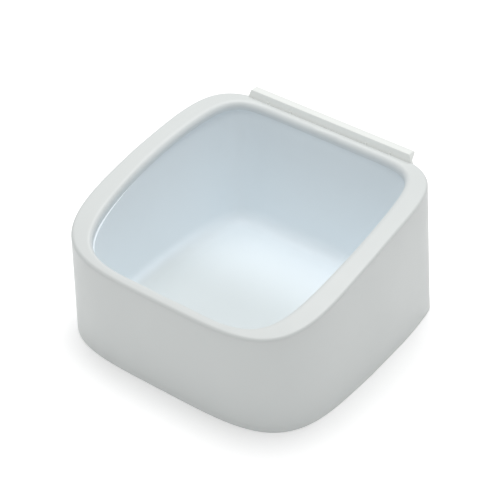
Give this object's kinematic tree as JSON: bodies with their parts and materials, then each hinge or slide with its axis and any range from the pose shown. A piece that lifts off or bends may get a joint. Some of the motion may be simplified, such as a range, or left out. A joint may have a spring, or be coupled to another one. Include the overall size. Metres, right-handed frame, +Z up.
{
  "type": "hook-on feed bowl",
  "caption": "Rounded square double-walled feed bowl with a broad rim sloping down to the front and a wedge-headed hanging strip along the back.",
  "frame": {"origin": "on the table, under the middle of the overall box", "axes": "+Z up, -Y towards the low front of the bowl, +Y towards the hanging strip, X from side to side"},
  "size_m": [0.154, 0.1487, 0.0913],
  "materials": {
    "shell_plastic": "satin",
    "pan_plastic": "satin",
    "strip_plastic": "satin"
  },
  "bodies": {
    "bowl": {"outer_shell": "shell_plastic", "feed_pan": "pan_plastic"},
    "strip": {"hanging_strip": "strip_plastic"}
  },
  "joints": [
    {"name": "strip_lift", "type": "slide", "parent": "bowl", "child": "strip", "axis": [0, 0, 1], "range_m": [0, 0.02]}
  ]
}
